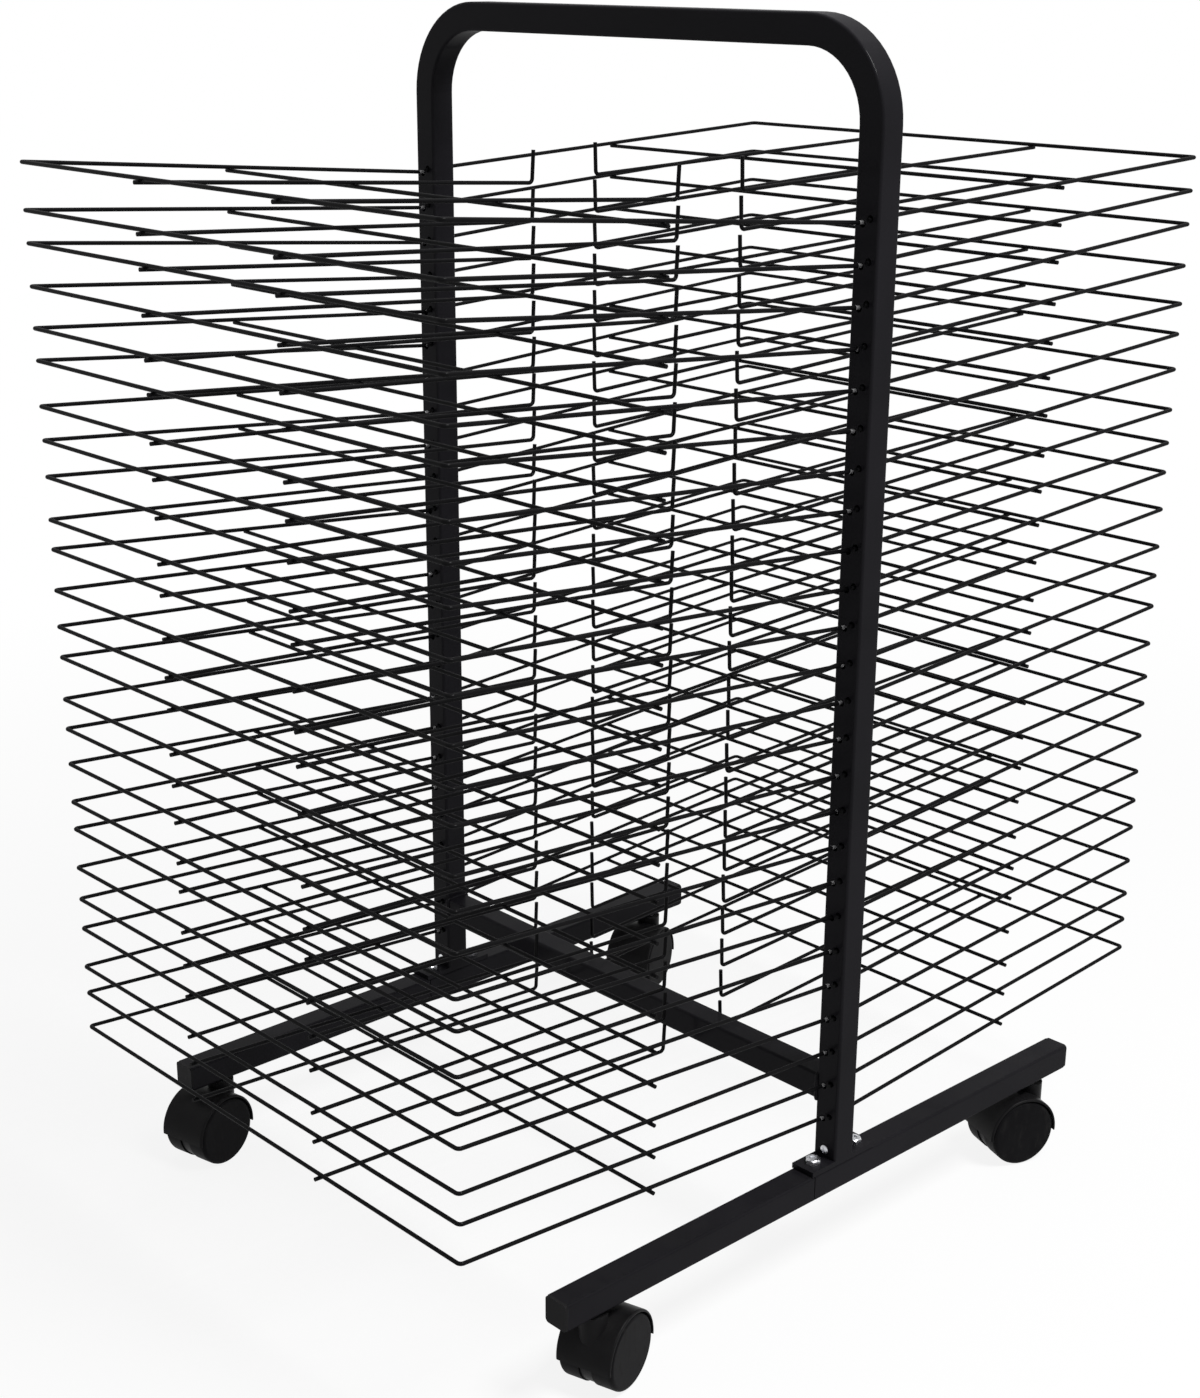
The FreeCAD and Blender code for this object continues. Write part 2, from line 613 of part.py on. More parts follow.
def make_shelves():
    """A front and a rear shelf for each level. The front one is the same shelf turned half round."""
    shelf = make_shelf()
    pairs = []
    for level in range(int(value("levels"))):
        height = f"lowest_level + {level} * {LEVEL_PITCH}"
        front_tilt = f"(front_tilt + tilt_play * sin({FRONT_WANDER * level} deg))"
        rear_tilt = f"(rear_tilt + tilt_play * sin({REAR_WANDER * level + REAR_LEAD} deg))"
        front = copy_of(shelf, f"front_shelf_{level + 1:02d}", "-column_offset", "0", height,
                        [("z", 180), ("x", front_tilt)])
        rear = copy_of(shelf, f"rear_shelf_{level + 1:02d}", "column_offset", "0", f"{height} + rear_step",
                       [("x", rear_tilt)])
        pairs.append(group(f"shelf_pair_{level + 1:02d}", [front, rear]))
    return pairs


# ---------------------------------------------------------------- casters
# A caster's own origin is where its swivel axis meets the underside of the foot. Its wheels
# trail towards +Y and turn about an axle along X.

AXLE_Z = "(wheel_radius - caster_height)"
HOOD_RADIUS = "(wheel_radius + hood_gap + hood_wall)"
HALF_CASTER = "(wheel_width + wheel_gap / 2)"
BOSS_TOP = "(-insert_flange - stem_shoulder - side_gap)"
HALF_WEB = "(wheel_gap / 2 - side_gap)"
# A quarter circle bulges from its chord by this share of the chord.
QUARTER_BULGE = (2 ** 0.5 - 1) / 2


def along_axle(name, radius, start, end):
    """A cylinder about the wheel axle between two values of x."""
    return cylinder(name, radius, f"({end}) - ({start})", start, "caster_trail", AXLE_Z, ALONG_X)


def turned(label, corners, rounded, angle):
    """A solid turned about X, from the formulas for x and y of the corners of its profile.

    The sides that start at the corners in rounded are quarter circles of the radius given there.
    """
    body = DOC.addObject("PartDesign::Body", label)
    profile = sketch_on(body, "XY_Plane", label + "_profile")
    points = [Vector(value(x), value(y), 0) for x, y in corners]
    starts = {}
    for index, start in enumerate(points):
        end = points[(index + 1) % len(points)]
        if index in rounded:
            chord = end - start
            outwards = Vector(-chord.y, chord.x, 0) * QUARTER_BULGE
            edge = Part.Arc(start, (start + end) / 2 + outwards, end)
        else:
            edge = Part.LineSegment(start, end)
        profile.addGeometry(edge, False)
        starts[index] = nearest_end(profile, index, start)
    for index, (x, y) in enumerate(corners):
        before = (index - 1) % len(corners)
        start, end = starts[index], 3 - starts[before]
        profile.addConstraint(Sketcher.Constraint("Coincident", before, end, index, start))
        hold(profile, "DistanceX", index, start, x)
        hold(profile, "DistanceY", index, start, y)
    for index, radius in rounded.items():
        name_size(profile, Sketcher.Constraint("Radius", index, value(radius)), f"round_{index}", radius)
    solid = body.newObject("PartDesign::Revolution", label + "_turned")
    solid.Profile = profile
    solid.ReferenceAxis = (profile, ["H_Axis"])
    bind(solid, Angle=angle)
    return body


def nearest_end(sketch, index, point):
    """Which end of a sketch's edge, 1 or 2, is at a point. Arcs may run either way."""
    return 1 if sketch.getPoint(index, 1).distanceToPoint(point) < 0.01 else 2


def hold(sketch, kind, index, end, text):
    """Holds a point at a formula's distance from an axis, or on the axis that the profile turns about."""
    if text == "0":
        sketch.addConstraint(Sketcher.Constraint("PointOnObject", index, end, -1))
    else:
        name_size(sketch, Sketcher.Constraint(kind, -1, 1, index, end, value(text)), f"{kind}_{index}", text)


def make_insert():
    """The threaded insert in the foot's lower wall, with its flange below the wall."""
    flange = cylinder("insert_flange_ring", "insert_flange_radius", "insert_flange", z="-insert_flange")
    barrel = cylinder("insert_barrel", "insert_radius", "insert_length")
    thread = cylinder("insert_thread", "stem_radius", "insert_flange + insert_length + 2 * overshoot",
                      z="-insert_flange - overshoot")
    return cut("caster_insert", fuse("insert_solid", [flange, barrel]), thread)


def make_stem():
    """The stem that a caster swivels on: threaded above, a shoulder, and the kingpin below."""
    thread = cylinder("stem_thread", "stem_radius", "insert_flange + insert_length", z="-insert_flange")
    shoulder = cylinder("stem_shoulder_ring", "stem_shoulder_radius", "stem_shoulder",
                        z="-(insert_flange + stem_shoulder)")
    length = "insert_flange + stem_shoulder + side_gap + kingpin_depth"
    kingpin = cylinder("kingpin", "kingpin_radius", length, z=f"-({length})")
    return fuse("caster_stem", [thread, shoulder, kingpin])


def make_hood():
    """The hood over both wheels, with the web between them and the kingpin's boss."""
    corners = [
        (f"-{HALF_CASTER}", "0"),
        (f"-{HALF_CASTER}", f"{HOOD_RADIUS} - hood_edge"),
        (f"-{HALF_CASTER} + hood_edge", HOOD_RADIUS),
        (f"{HALF_CASTER} - hood_edge", HOOD_RADIUS),
        (HALF_CASTER, f"{HOOD_RADIUS} - hood_edge"),
        (HALF_CASTER, "0"),
    ]
    cover = turned("hood_cover", corners, {1: "hood_edge", 3: "hood_edge"}, "hood_sweep")
    place(cover, "0", "caster_trail", AXLE_Z, [("x", "-hood_drop")])
    disc = along_axle("hood_disc", "web_radius", f"-{HALF_WEB}", HALF_WEB)
    boss = cylinder("hood_boss", "boss_radius", f"{BOSS_TOP} - {AXLE_Z}", z=AXLE_Z)
    space = "wheel_radius + hood_gap"
    tools = [
        along_axle("right_wheel_space", space, HALF_WEB, f"2 * {HALF_CASTER}"),
        along_axle("left_wheel_space", space, f"-2 * {HALF_CASTER}", f"-{HALF_WEB}"),
        along_axle("axle_hole", "axle_radius", f"-{HALF_CASTER}", HALF_CASTER),
        cylinder("kingpin_hole", "kingpin_radius + running_gap", "kingpin_depth + side_gap + overshoot",
                 z=f"{BOSS_TOP} - kingpin_depth - side_gap"),
    ]
    return cut_all("hood", fuse("hood_solid", [cover, disc, boss]), tools)


def make_wheel():
    """The right-hand wheel of a caster, turned about X, with the axle's middle at its origin."""
    inner, outer, bore = "wheel_gap / 2", HALF_CASTER, "axle_radius + running_gap"
    corners = [
        (inner, bore),
        (inner, "wheel_hub"),
        (f"{inner} + wheel_recess", "wheel_hub"),
        (f"{inner} + wheel_recess", "wheel_radius - wheel_rim"),
        (inner, "wheel_radius - wheel_rim"),
        (inner, "wheel_radius"),
        (f"{outer} - wheel_shoulder", "wheel_radius"),
        (outer, "wheel_radius - wheel_shoulder"),
        (outer, "0"),
        (f"{outer} - wheel_skin", "0"),
        (f"{outer} - wheel_skin", bore),
    ]
    return turned("wheel", corners, {6: "wheel_shoulder"}, "360")


def make_casters():
    """Four casters. Inserts and stems are fixed to the feet; the rest swivels and rolls."""
    insert, stem, hood, wheel = make_insert(), make_stem(), make_hood(), make_wheel()
    half_axle = f"({HALF_CASTER} - wheel_skin - side_gap)"
    axle = cylinder("axle", "axle_radius", f"2 * {half_axle}", x=f"-{half_axle}", turns=ALONG_X)
    nodes, inserts, stems = [], [], []
    for name, (side, end, turn) in CASTERS.items():
        x, y = side_x(side), f"{end} * {CASTER_DISTANCE}"
        axle_x = f"{x} - caster_trail * sin({turn} deg)"
        axle_y = f"{y} + caster_trail * cos({turn} deg)"
        inserts.append(copy_of(insert, f"{name}_insert", x, y, "caster_height"))
        stems.append(copy_of(stem, f"{name}_stem", x, y, "caster_height"))
        nodes.append(copy_of(hood, f"caster_{name}_hood", x, y, "caster_height", [("z", turn)]))
        nodes.append(copy_of(axle, f"caster_{name}_axle", axle_x, axle_y, "wheel_radius", [("z", turn)]))
        for wheel_name, half_turn in (("wheel_a", 0), ("wheel_b", 180)):
            nodes.append(copy_of(wheel, f"caster_{name}_{wheel_name}", axle_x, axle_y, "wheel_radius",
                                 [("z", turn + half_turn)]))
    return nodes + [group("caster_inserts", inserts), group("caster_stems", stems)]


# ---------------------------------------------------------------- the whole rack


def check_document():
    """Stops if any object failed to compute."""
    for thing in DOC.Objects:
        if {"Invalid", "Error"} & set(thing.State):
            raise RuntimeError(f"{thing.Label} did not compute: {thing.State}")


def write_node(node):
    """Checks one sub-part's shape and writes its file."""
    shape = Part.getShape(node)
    if shape.isNull() or not shape.isValid():
        raise RuntimeError(f"{node.Label} has no valid shape")
    shape.exportStep(f"parts/{node.Label}.step")
    box = shape.BoundBox
    print(f"{node.Label:32s} solids {len(shape.Solids):2d}  volume {shape.Volume:10.1f}  "
          f"x {box.XMin:7.1f} {box.XMax:7.1f}  y {box.YMin:7.1f} {box.YMax:7.1f}  "
          f"z {box.ZMin:6.1f} {box.ZMax:6.1f}")


def main():
    nodes = [make_upright_frame(), make_crossbar()]
    for side_name, side in SIDES.items():
        nodes += make_foot(side_name, side)
        nodes.append(make_base_plate(side_name, side))
    nodes += [make_spigots(), make_end_caps()]
    nodes += make_fasteners()
    nodes += make_casters()
    nodes += make_shelves()
    DOC.recompute()
    check_document()
    os.makedirs("parts", exist_ok=True)
    for node in nodes:
        write_node(node)
    print(len(nodes), "nodes")


main()
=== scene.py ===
import json
import math

import bmesh
import bpy
from mathutils import Matrix, Vector
from mathutils.noise import noise as noise_at


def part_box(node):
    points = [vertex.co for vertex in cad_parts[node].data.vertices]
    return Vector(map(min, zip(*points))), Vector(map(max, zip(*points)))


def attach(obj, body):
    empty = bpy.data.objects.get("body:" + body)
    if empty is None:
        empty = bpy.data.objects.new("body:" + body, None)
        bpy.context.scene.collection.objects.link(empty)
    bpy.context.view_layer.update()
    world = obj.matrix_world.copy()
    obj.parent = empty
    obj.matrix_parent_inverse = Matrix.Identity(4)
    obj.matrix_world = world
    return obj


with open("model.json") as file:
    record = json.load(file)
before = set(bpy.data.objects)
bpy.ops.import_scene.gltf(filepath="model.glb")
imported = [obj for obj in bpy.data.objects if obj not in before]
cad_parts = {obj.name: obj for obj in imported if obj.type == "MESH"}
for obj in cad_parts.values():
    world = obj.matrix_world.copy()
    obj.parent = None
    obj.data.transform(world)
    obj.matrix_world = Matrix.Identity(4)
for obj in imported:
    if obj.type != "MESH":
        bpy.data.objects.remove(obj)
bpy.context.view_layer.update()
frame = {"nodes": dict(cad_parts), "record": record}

MM = 0.001
RACK = "rack"
NODES = frame["nodes"]
SHELF_NODES = sorted(name for name in NODES if name.startswith("shelf_pair_"))

GREY_DUST = (0.03, 0.029, 0.028)
PALE_DUST = (0.04, 0.039, 0.037)
RUBBED_PLASTIC = (0.025, 0.025, 0.027)
RUBBED_STEEL = (0.9, 0.9, 0.91)
# Bright steel for wear through the coat, also painting glints at the holes of the uprights.
STEEL_GLINT_AND_WEAR = (0.8, 0.8, 0.81)


def node_box(name):
    """The lowest and highest corners of a node."""
    low, high = (Vector(corner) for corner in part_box(name))
    return low, high


# ---------------------------------------------------------------- building blocks for the finishes


def new_group(name, inputs, outputs):
    """An empty node group, the sockets that bring its inputs and the sockets that take its outputs."""
    group = bpy.data.node_groups.new(name, "ShaderNodeTree")
    for label, value in inputs:
        socket = group.interface.new_socket(label, in_out="INPUT", socket_type="NodeSocketFloat")
        socket.default_value = value
    for label in outputs:
        group.interface.new_socket(label, in_out="OUTPUT", socket_type="NodeSocketFloat")
    source = group.nodes.new("NodeGroupInput")
    result = group.nodes.new("NodeGroupOutput")
    return group, source.outputs, result.inputs


def set_inputs(node, **values):
    """Gives plain values to a node's inputs, whose names are written with _ for a space."""
    for label, value in values.items():
        node.inputs[label.replace("_", " ")].default_value = value


def join(tree, start, end):
    """Links two sockets, or gives the second one a plain value."""
    if isinstance(start, bpy.types.NodeSocket):
        tree.links.new(start, end)
    else:
        end.default_value = start


def place_group(tree, group, **values):
    """A group in a material's tree, with its own values."""
    node = tree.nodes.new("ShaderNodeGroup")
    node.node_tree = group
    set_inputs(node, **values)
    return node.outputs


def maths(tree, operation, *values):
    """A Math node fed by sockets or plain numbers."""
    node = tree.nodes.new("ShaderNodeMath")
    node.operation = operation
    for value, socket in zip(values, node.inputs):
        join(tree, value, socket)
    return node.outputs["Value"]


def product(tree, first, *others):
    """Sockets and plain numbers multiplied together."""
    for other in others:
        first = maths(tree, "MULTIPLY", first, other)
    return first


def add_share(tree, base, extra, share):
    """The base and a share of something else added up."""
    return maths(tree, "ADD", base, product(tree, extra, share))


def spread(tree, value, low, high, to_low=0.0, to_high=1.0):
    """Maps the range low to high smoothly on another range."""
    node = tree.nodes.new("ShaderNodeMapRange")
    node.interpolation_type = "SMOOTHSTEP"
    join(tree, value, node.inputs["Value"])
    for label, limit in (("From Min", low), ("From Max", high), ("To Min", to_low), ("To Max", to_high)):
        join(tree, limit, node.inputs[label])
    return node.outputs["Result"]


def between(tree, share, low, high):
    """A value that goes smoothly from low to high as the share goes from 0 to 1."""
    return spread(tree, share, 0.0, 1.0, low, high)


def own_place(tree):
    """Where a point lies in its piece's own coordinates, in metres."""
    return tree.nodes.new("ShaderNodeTexCoord").outputs["Object"]


def noise(tree, scale, detail=2.0, roughness=0.5, stretch=None):
    """Noise over the piece's own coordinates, or over stretched ones."""
    place = own_place(tree)
    if stretch is not None:
        mapping = tree.nodes.new("ShaderNodeMapping")
        mapping.inputs["Scale"].default_value = stretch
        join(tree, place, mapping.inputs["Vector"])
        place = mapping.outputs["Vector"]
    node = tree.nodes.new("ShaderNodeTexNoise")
    set_inputs(node, Detail=detail, Roughness=roughness)
    join(tree, scale, node.inputs["Scale"])
    join(tree, place, node.inputs["Vector"])
    return node.outputs["Fac"]


def blend_colours(tree, share, first, second):
    """A blend of two colours, each a socket or a plain red, green and blue."""
    # A Mix node's colour sockets are called what its number sockets are, so they are taken by place.
    first_place, second_place, result_place = 6, 7, 2
    node = tree.nodes.new("ShaderNodeMix")
    node.data_type = "RGBA"
    join(tree, share, node.inputs["Factor"])
    for place, colour in ((first_place, first), (second_place, second)):
        if isinstance(colour, tuple):
            colour = (*colour, 1.0)
        join(tree, colour, node.inputs[place])
    return node.outputs[result_place]


# ---------------------------------------------------------------- effects shared by the finishes


def make_powder_skin():
    """The fine orange peel of powder coat, with slow patches in its shade."""
    group, given, out = new_group(
        "powder_skin", [("Peel Scale", 1400.0), ("Patch Scale", 9.0)], ["Height", "Patches"]
    )
    grit_scale = 3.1
    peel_share = 0.7
    grit_share = 0.3
    patch_start, patch_end = 0.32, 0.68
    peel = noise(group, given["Peel Scale"], detail=1.5)
    grit = noise(group, product(group, given["Peel Scale"], grit_scale), detail=1.0)
    height = add_share(group, product(group, peel, peel_share), grit, grit_share)
    join(group, height, out["Height"])
    patches = noise(group, given["Patch Scale"], detail=3.0, roughness=0.6)
    join(group, spread(group, patches, patch_start, patch_end), out["Patches"])
    return group


def make_rubbed_edges():
    """Where edges are rubbed: a mask from rounded normals, broken up by noise."""
    group, given, out = new_group("rubbed_edges", [("Width", 0.9 * MM), ("Broken", 0.5)], ["Mask"])
    turn_start, turn_end = 0.01, 0.16
    chip_scale = 160.0
    chip_end = 0.75
    bevel = group.nodes.new("ShaderNodeBevel")
    bevel.samples = 6
    join(group, given["Width"], bevel.inputs["Radius"])
    surface = group.nodes.new("ShaderNodeNewGeometry")
    facing = group.nodes.new("ShaderNodeVectorMath")
    facing.operation = "DOT_PRODUCT"
    for normal, socket in zip((bevel.outputs["Normal"], surface.outputs["True Normal"]), facing.inputs):
        join(group, normal, socket)
    turn = maths(group, "SUBTRACT", 1.0, facing.outputs["Value"])
    edge = spread(group, turn, turn_start, turn_end)
    chips = noise(group, chip_scale, detail=4.0, roughness=0.65)
    join(group, product(group, edge, spread(group, chips, given["Broken"], chip_end)), out["Mask"])
    return group


def make_settled_dust():
    """Thin dust on what faces up, in loose clouds."""
    group, given, out = new_group("settled_dust", [("Amount", 0.3)], ["Mask"])
    slope_start, slope_end = 0.35, 1.0
    cloud_scale = 28.0
    cloud_start, cloud_end = 0.38, 0.72
    surface = group.nodes.new("ShaderNodeNewGeometry")
    parts = group.nodes.new("ShaderNodeSeparateXYZ")
    join(group, surface.outputs["Normal"], parts.inputs["Vector"])
    upward = spread(group, parts.outputs["Z"], slope_start, slope_end)
    clouds = spread(group, noise(group, cloud_scale, detail=5.0, roughness=0.62), cloud_start, cloud_end)
    join(group, product(group, upward, clouds, given["Amount"]), out["Mask"])
    return group


def make_rolled_scuffs():
    """Fine scratches drawn out along Z, and specks of grit."""
    group, given, out = new_group("rolled_scuffs", [("Scale", 220.0)], ["Scuffs", "Height"])
    drawn_out = (1.0, 1.0, 0.35)
    speck_scale = 5.0
    speck_share = 0.35
    scuff_start, scuff_end = 0.5, 0.72
    lines = noise(group, given["Scale"], detail=3.0, roughness=0.6, stretch=drawn_out)
    specks = noise(group, product(group, given["Scale"], speck_scale), detail=1.0)
    join(group, spread(group, lines, scuff_start, scuff_end), out["Scuffs"])
    join(group, add_share(group, lines, specks, speck_share), out["Height"])
    return group


def make_hole_glints_and_wear():
    """Bright steel bands at the holes of the uprights, more on some levels: wear where the shelf wires rub,
    and a painted glint.

    The front shelves' holes lie left of an upright's centre line and the rear ones' right of it,
    so the sign of the two offsets tells a wire on its own side from its tail on the other.
    """
    plate_low, plate_high = node_box("right_base_plate")
    frame_low, frame_high = node_box("upright_frame")
    half_tube = (frame_high.y - frame_low.y) / 2
    group, given, out = new_group(
        "hole_glints_and_wear",
        [
            ("Band Start", half_tube - 0.4 * MM),
            ("Band End", half_tube + 5.5 * MM),
            ("Upright X", (plate_low.x + plate_high.x) / 2),
        ],
        ["Mask"],
    )
    level_scale = 60.0
    level_start, level_end = 0.4, 0.52
    low_height, high_height = 0.2, 0.5
    low_share = 0.6
    ragged_scale = 900.0
    ragged_share = 0.3
    worn_start, worn_end = 0.36, 0.46
    parts = group.nodes.new("ShaderNodeSeparateXYZ")
    join(group, own_place(group), parts.inputs["Vector"])
    away = maths(group, "ABSOLUTE", parts.outputs["Y"])
    upright = product(group, maths(group, "SIGN", parts.outputs["X"]), given["Upright X"])
    offset = maths(group, "SUBTRACT", parts.outputs["X"], upright)
    own_side = maths(group, "GREATER_THAN", product(group, offset, parts.outputs["Y"]), 0.0)
    beyond = maths(group, "GREATER_THAN", away, given["Band Start"])
    before = spread(group, away, given["Band End"], given["Band Start"])
    levels = spread(group, noise(group, level_scale, detail=1.0), level_start, level_end)
    by_height = spread(group, parts.outputs["Z"], low_height, high_height, to_low=low_share)
    # Painted glint and wear: a band just outside each hole, on the wire's own side, on some levels, weaker
    # low down.
    glint_and_wear = product(group, beyond, before, own_side, levels, by_height)
    ragged = noise(group, ragged_scale, detail=3.0, roughness=0.7)
    frayed = add_share(group, glint_and_wear, ragged, ragged_share)
    join(group, spread(group, frayed, worn_start, worn_end), out["Mask"])
    return group


POWDER_SKIN = make_powder_skin()
RUBBED_EDGES = make_rubbed_edges()
SETTLED_DUST = make_settled_dust()
ROLLED_SCUFFS = make_rolled_scuffs()
# Painted glints and wear at the holes of the uprights.
HOLE_GLINTS_AND_WEAR = make_hole_glints_and_wear()


# ---------------------------------------------------------------- finishes


def new_finish(name):
    """A material, its node tree and its shader."""
    material = bpy.data.materials.new(name)
    material.use_nodes = True
    tree = material.node_tree
    return material, tree, tree.nodes["Principled BSDF"]


def raise_bumps(tree, shader, height, depth):
    """Raises the surface by a height map, as deep as the depth where the map goes from 0 to 1."""
    bump = tree.nodes.new("ShaderNodeBump")
    set_inputs(bump, Distance=depth)
    join(tree, height, bump.inputs["Height"])
    join(tree, bump.outputs["Normal"], shader.inputs["Normal"])


def powder_coat(name, deep, pale, rubbed, peel_scale, peel_depth, roughness, dust, edge_width, glint_and_wear_group=None):
    """Black powder coat: orange peel, slow patches, rubbed edges and a trace of dust.

    A group given as the last argument says where the coat shows bright steel, partly wear through the coat
    and partly a painted glint.
    """
    patch_roughness = 0.09
    edge_polish = 0.08
    dust_roughness = 0.3
    bare_polish = 0.12
    material, tree, shader = new_finish(name)
    skin = place_group(tree, POWDER_SKIN, Peel_Scale=peel_scale)
    edges = place_group(tree, RUBBED_EDGES, Width=edge_width)
    dusty = place_group(tree, SETTLED_DUST, Amount=dust)
    coat = blend_colours(tree, skin["Patches"], deep, pale)
    coat = blend_colours(tree, edges["Mask"], coat, rubbed)
    coat = blend_colours(tree, dusty["Mask"], coat, GREY_DUST)
    rough = between(tree, skin["Patches"], roughness, roughness + patch_roughness)
    rough = add_share(tree, rough, edges["Mask"], -edge_polish)
    rough = add_share(tree, rough, dusty["Mask"], dust_roughness)
    # Bright metallic steel blended in by the mask: wear on the coat, and a painted glint at the uprights'
    # holes.
    if glint_and_wear_group is not None:
        glint_and_wear = place_group(tree, glint_and_wear_group)["Mask"]
        coat = blend_colours(tree, glint_and_wear, coat, STEEL_GLINT_AND_WEAR)
        rough = add_share(tree, rough, glint_and_wear, -bare_polish)
        join(tree, glint_and_wear, shader.inputs["Metallic"])
    join(tree, coat, shader.inputs["Base Color"])
    join(tree, rough, shader.inputs["Roughness"])
    set_inputs(shader, Specular_IOR_Level=0.025, Coat_Weight=0.07, Coat_Roughness=0.14)
    raise_bumps(tree, shader, skin["Height"], peel_depth)
    return material


def moulded_plastic(name, deep, pale, roughness, shine, grain_scale, grain_depth, dust):
    """Black moulded plastic with a spark-eroded grain."""
    patch_roughness = 0.1
    material, tree, shader = new_finish(name)
    skin = place_group(tree, POWDER_SKIN, Peel_Scale=grain_scale, Patch_Scale=30.0)
    edges = place_group(tree, RUBBED_EDGES, Width=0.6 * MM, Broken=0.35)
    dusty = place_group(tree, SETTLED_DUST, Amount=dust)
    body = blend_colours(tree, skin["Patches"], deep, pale)
    body = blend_colours(tree, edges["Mask"], body, RUBBED_PLASTIC)
    body = blend_colours(tree, dusty["Mask"], body, PALE_DUST)
    rough = between(tree, skin["Patches"], roughness, roughness + patch_roughness)
    join(tree, body, shader.inputs["Base Color"])
    join(tree, rough, shader.inputs["Roughness"])
    set_inputs(shader, Specular_IOR_Level=shine)
    raise_bumps(tree, shader, skin["Height"], grain_depth)
    return material


def wheel_nylon():
    """Black nylon, dulled and scuffed by rolling."""
    deep = (0.0042, 0.004, 0.0047)
    pale = (0.0064, 0.0062, 0.0069)
    scuff_share = 0.25
    clean_roughness, scuffed_roughness = 0.5, 0.66
    material, tree, shader = new_finish("wheel_nylon")
    skin = place_group(tree, POWDER_SKIN, Patch_Scale=40.0)
    scuffs = place_group(tree, ROLLED_SCUFFS)
    body = blend_colours(tree, skin["Patches"], deep, pale)
    body = blend_colours(tree, product(tree, scuffs["Scuffs"], scuff_share), body, GREY_DUST)
    rough = between(tree, scuffs["Scuffs"], clean_roughness, scuffed_roughness)
    join(tree, body, shader.inputs["Base Color"])
    join(tree, rough, shader.inputs["Roughness"])
    set_inputs(shader, Specular_IOR_Level=0.04)
    raise_bumps(tree, shader, scuffs["Height"], 0.06 * MM)
    return material


def steel_finish(name, pale, dull, roughness):
    """Plated or plain steel: fine crystals, a few dull blooms, bright elsewhere."""
    bloom_roughness = 0.16
    material, tree, shader = new_finish(name)
    skin = place_group(tree, POWDER_SKIN, Peel_Scale=2600.0, Patch_Scale=120.0)
    edges = place_group(tree, RUBBED_EDGES, Width=0.4 * MM, Broken=0.3)
    metal = blend_colours(tree, skin["Patches"], pale, dull)
    metal = blend_colours(tree, edges["Mask"], metal, RUBBED_STEEL)
    rough = between(tree, skin["Patches"], roughness, roughness + bloom_roughness)
    join(tree, metal, shader.inputs["Base Color"])
    join(tree, rough, shader.inputs["Roughness"])
    set_inputs(shader, Metallic=1.0)
    raise_bumps(tree, shader, skin["Height"], 0.02 * MM)
    return material


def seen_directly(tree):
    """1 for what the camera, a reflection or glass shows of a surface, 0 for the light that it gives."""
    path = tree.nodes.new("ShaderNodeLightPath")
    seen = maths(tree, "MAXIMUM", path.outputs["Is Camera Ray"], path.outputs["Is Glossy Ray"])
    return maths(tree, "MAXIMUM", seen, path.outputs["Is Transmission Ray"])


def floor_finish():
    """A white floor that keeps a faint shadow round the rack and runs into the white surround."""
    fade_start, fade_end = 0.7, 1.8
    near_glow = 0.88
    tone_scale = 2.0
    grey = (0.94, 0.94, 0.94)
    white = (0.96, 0.96, 0.96)
    material, tree, shader = new_finish("floor_paint")
    tone = blend_colours(tree, noise(tree, tone_scale), grey, white)
    join(tree, tone, shader.inputs["Base Color"])
    set_inputs(shader, Roughness=0.9, Specular_IOR_Level=0.1)
    distance = tree.nodes.new("ShaderNodeVectorMath")
    distance.operation = "LENGTH"
    join(tree, own_place(tree), distance.inputs["Vector"])
    glow = tree.nodes.new("ShaderNodeEmission")
    fading = spread(tree, distance.outputs["Value"], fade_start, fade_end, to_low=near_glow)
    share = product(tree, seen_directly(tree), fading)
    both = tree.nodes.new("ShaderNodeMixShader")
    for source, socket in zip((share, shader.outputs["BSDF"], glow.outputs["Emission"]), both.inputs):
        join(tree, source, socket)
    join(tree, both.outputs["Shader"], tree.nodes["Material Output"].inputs["Surface"])
    return material


FINISH_OF_SLOT = {
    "frame_coat": powder_coat(
        "frame_powder_coat",
        deep=(0.0062, 0.0059, 0.0074),
        pale=(0.0098, 0.0092, 0.0114),
        rubbed=(0.02, 0.02, 0.022),
        peel_scale=1400.0,
        peel_depth=0.05 * MM,
        roughness=0.5,
        dust=0.12,
        edge_width=0.9 * MM,
    ),
    "wire_coat": powder_coat(
        "wire_coat",
        deep=(0.0022, 0.0021, 0.0025),
        pale=(0.004, 0.0039, 0.0044),
        rubbed=(0.01, 0.01, 0.011),
        peel_scale=2200.0,
        peel_depth=0.02 * MM,
        roughness=0.48,
        dust=0.05,
        edge_width=0.4 * MM,
        # Wear and painted glints on the wires at the holes of the uprights.
        glint_and_wear_group=HOLE_GLINTS_AND_WEAR,
    ),
    "cap_plastic": moulded_plastic(
        "cap_plastic",
        deep=(0.0058, 0.0056, 0.0062),
        pale=(0.009, 0.0088, 0.0094),
        roughness=0.55,
        shine=0.08,
        grain_scale=1700.0,
        grain_depth=0.05 * MM,
        dust=0.12,
    ),
    "hood_plastic": moulded_plastic(
        "hood_plastic",
        deep=(0.0055, 0.0053, 0.0058),
        pale=(0.0085, 0.0082, 0.0088),
        roughness=0.4,
        shine=0.07,
        grain_scale=1500.0,
        grain_depth=0.03 * MM,
        dust=0.16,
    ),
    "wheel_plastic": wheel_nylon(),
    "zinc": steel_finish(
        "bright_zinc", pale=(0.78, 0.79, 0.81), dull=(0.6, 0.61, 0.64), roughness=0.2
    ),
    "plain_steel": steel_finish(
        "plain_steel", pale=(0.5, 0.5, 0.51), dull=(0.38, 0.38, 0.39), roughness=0.32
    ),
}


